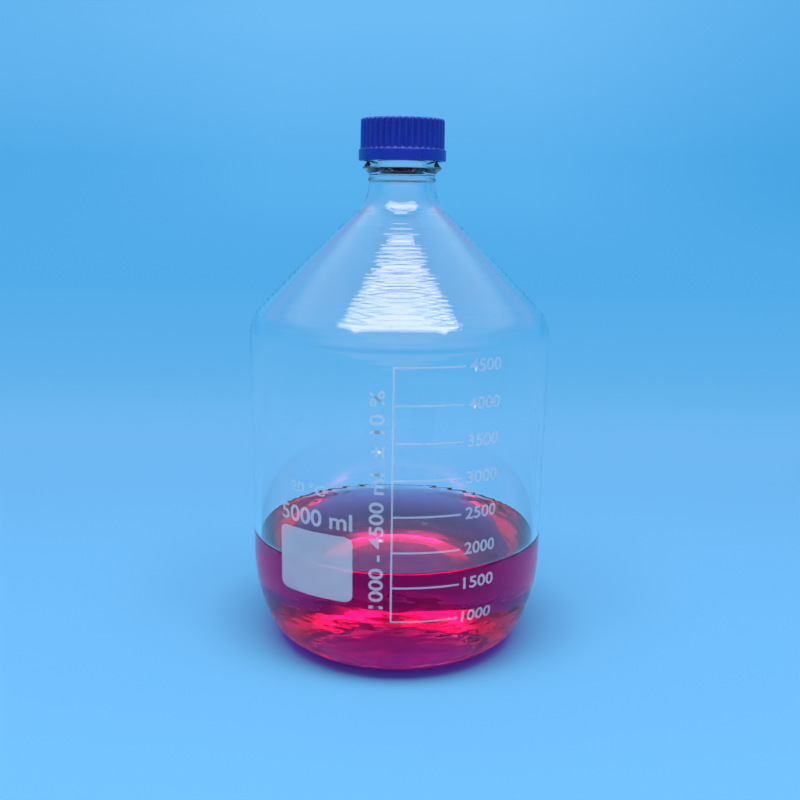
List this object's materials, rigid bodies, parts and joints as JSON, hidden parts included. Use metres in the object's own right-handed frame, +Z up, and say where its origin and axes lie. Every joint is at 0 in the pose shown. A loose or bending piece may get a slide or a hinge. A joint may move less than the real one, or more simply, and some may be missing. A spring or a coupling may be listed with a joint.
{
  "type": "media bottle with screw cap",
  "caption": "Large clear glass media bottle with a cone shoulder, printed volume scale, threaded neck, pouring ring and ribbed blue screw cap, part filled with magenta liquid.",
  "frame": {"origin": "on the bottle's axis, in the plane that the foot stands on", "axes": "+Z up along the axis from the foot to the cap; -Y is the front, where the printed scale is"},
  "size_m": [0.181, 0.1811, 0.3169],
  "materials": {
    "borosilicate_glass": "clear polished",
    "blue_polypropylene": "moulded, semi gloss",
    "white_liner": "smooth",
    "magenta_liquid": "clear coloured liquid",
    "white_enamel": "fired print"
  },
  "bodies": {
    "bottle": {"glass_bottle": "borosilicate_glass", "pour_ring": "blue_polypropylene", "liquid": "magenta_liquid", "scale_lines": "white_enamel", "writing_field": "white_enamel"},
    "liner": {"seal_liner": "white_liner"},
    "cap": {"screw_cap": "blue_polypropylene"}
  },
  "joints": [
    {"name": "cap_lift", "type": "slide", "parent": "bottle", "child": "liner", "axis": [0, 0, 1], "range_m": [0, 0.0101]},
    {"name": "cap_turn", "type": "hinge", "parent": "liner", "child": "cap", "pos_m": [0, 0, 0.305], "axis": [0, 0, 1], "range_deg": [0, 900]}
  ],
  "couplings": [
    {"joint": "cap_lift", "follows": "cap_turn", "m_per_rad": 0.00063662}
  ]
}
